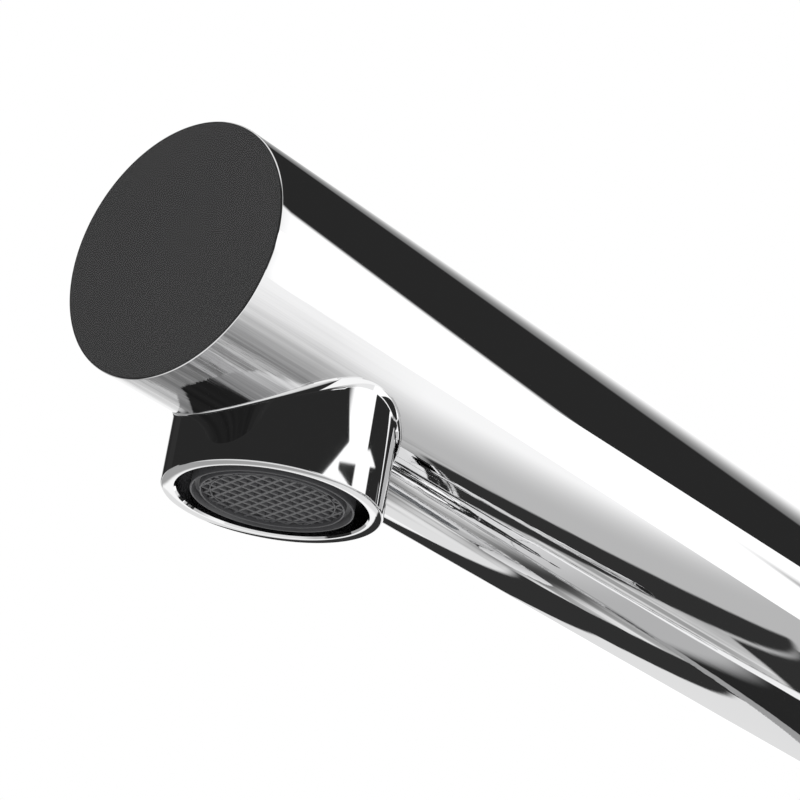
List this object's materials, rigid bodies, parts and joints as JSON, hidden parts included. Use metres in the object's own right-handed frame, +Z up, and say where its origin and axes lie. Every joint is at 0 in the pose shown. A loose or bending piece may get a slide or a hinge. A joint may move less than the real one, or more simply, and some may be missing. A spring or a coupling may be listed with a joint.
{
  "type": "tub filler with hand shower",
  "caption": "Freestanding floor-mounted tub filler: round column, straight tubular spout with aerator, side lever mixer, diverter knob and stick hand shower in a tilting cradle.",
  "frame": {"origin": "on the floor, on the column's axis, at the centre of the floor bolts' circle", "axes": "+Z up the column; the spout points along -Y, the lever's stub along +X and the hand shower hangs on the -X side"},
  "size_m": [0.152, 0.3019, 0.88],
  "materials": {
    "chrome": "polished chrome plate",
    "ground_chrome": "chrome plate over a finely ground face",
    "steel": "bright stainless steel",
    "dark_steel": "blackened steel",
    "brass": "machined brass",
    "copper": "drawn copper tube",
    "ceramic": "lapped alumina",
    "white_plastic": "moulded",
    "grey_plastic": "fine matt moulding",
    "aerator_plastic": "grey moulding",
    "dark_plastic": "moulded",
    "rubber": "black rubber",
    "silicone": "grey silicone"
  },
  "bodies": {
    "column": {"floor_flange": "steel", "floor_cover": "chrome", "cover_seal": "rubber", "column_tube": "chrome", "column_set_screws": "dark_steel", "hot_inlet_union": "brass", "cold_inlet_union": "brass", "hot_supply_tube": "copper", "cold_supply_tube": "copper", "supply_seals": "rubber", "mixer_body": "chrome", "cartridge_base": "white_plastic", "cartridge_seals": "rubber", "fixed_disc": "ceramic", "cartridge_housing": "white_plastic", "cartridge_nut": "brass", "sleeve_guide_ring": "dark_plastic", "diverter_housing": "brass", "diverter_seal": "rubber", "hose_outlet_elbow": "chrome", "hose_valve_cage": "white_plastic", "head_shell": "chrome", "head_cap": "chrome", "feed_tube": "copper", "waterway_elbow": "brass", "spout_tube": "chrome", "spout_end_plate": "ground_chrome", "spout_waterway": "copper", "outlet_adapter": "brass", "aerator_housing": "aerator_plastic", "aerator_core": "dark_plastic", "aerator_screen": "aerator_plastic", "aerator_gasket": "rubber", "holder_arm": "chrome", "holder_screw": "steel", "holder_washer": "rubber", "cradle_screw": "steel"},
    "handle": {"cartridge_carrier": "grey_plastic", "pivot_pin": "steel", "handle_sleeve": "chrome"},
    "lever": {"cartridge_stem": "steel", "lever_hub": "steel", "lever": "chrome", "lever_set_screw": "dark_steel"},
    "mixing_disc": {"moving_disc": "ceramic"},
    "diverter": {"diverter_rotor": "white_plastic", "diverter_stem": "steel", "diverter_knob": "chrome", "knob_set_screw": "dark_steel", "diverter_pointer": "chrome"},
    "hose_poppet": {"hose_valve_poppet": "dark_plastic"},
    "cradle": {"handset_cradle": "chrome"},
    "hand_shower": {"handset_body": "chrome", "handset_cap": "chrome", "handset_nipple": "chrome", "spray_plate": "grey_plastic", "spray_nozzles": "silicone", "spray_chamber": "white_plastic"}
  },
  "joints": [
    {"name": "handle_turn", "type": "hinge", "parent": "column", "child": "handle", "pos_m": [0.028, 0, 0.635], "axis": [1, 0, 0], "range_deg": [-45, 45]},
    {"name": "lever_lift", "type": "hinge", "parent": "handle", "child": "lever", "pos_m": [0.028, 0, 0.635], "axis": [0, 1, 0], "range_deg": [0, 18]},
    {"name": "disc_slide", "type": "slide", "parent": "handle", "child": "mixing_disc", "axis": [0, 0, 1], "range_m": [0, 0.0024]},
    {"name": "diverter_turn", "type": "hinge", "parent": "column", "child": "diverter", "pos_m": [0, 0, 0.68], "axis": [0, -1, 0], "range_deg": [0, 90]},
    {"name": "hose_valve", "type": "slide", "parent": "column", "child": "hose_poppet", "axis": [0, 0, -1], "range_m": [0, 0.0025], "stiffness_N_per_m": 100, "springref_m": -0.001},
    {"name": "cradle_tilt", "type": "hinge", "parent": "column", "child": "cradle", "pos_m": [-0.0435, 0, 0.53], "axis": [1, 0, 0], "range_deg": [-30, 30]},
    {"name": "handset_lift", "type": "slide", "parent": "cradle", "child": "hand_shower", "axis": [0, 0, 1], "range_m": [0, 0.1]}
  ],
  "couplings": [
    {"joint": "disc_slide", "follows": "lever_lift", "m_per_rad": 0.0075}
  ]
}
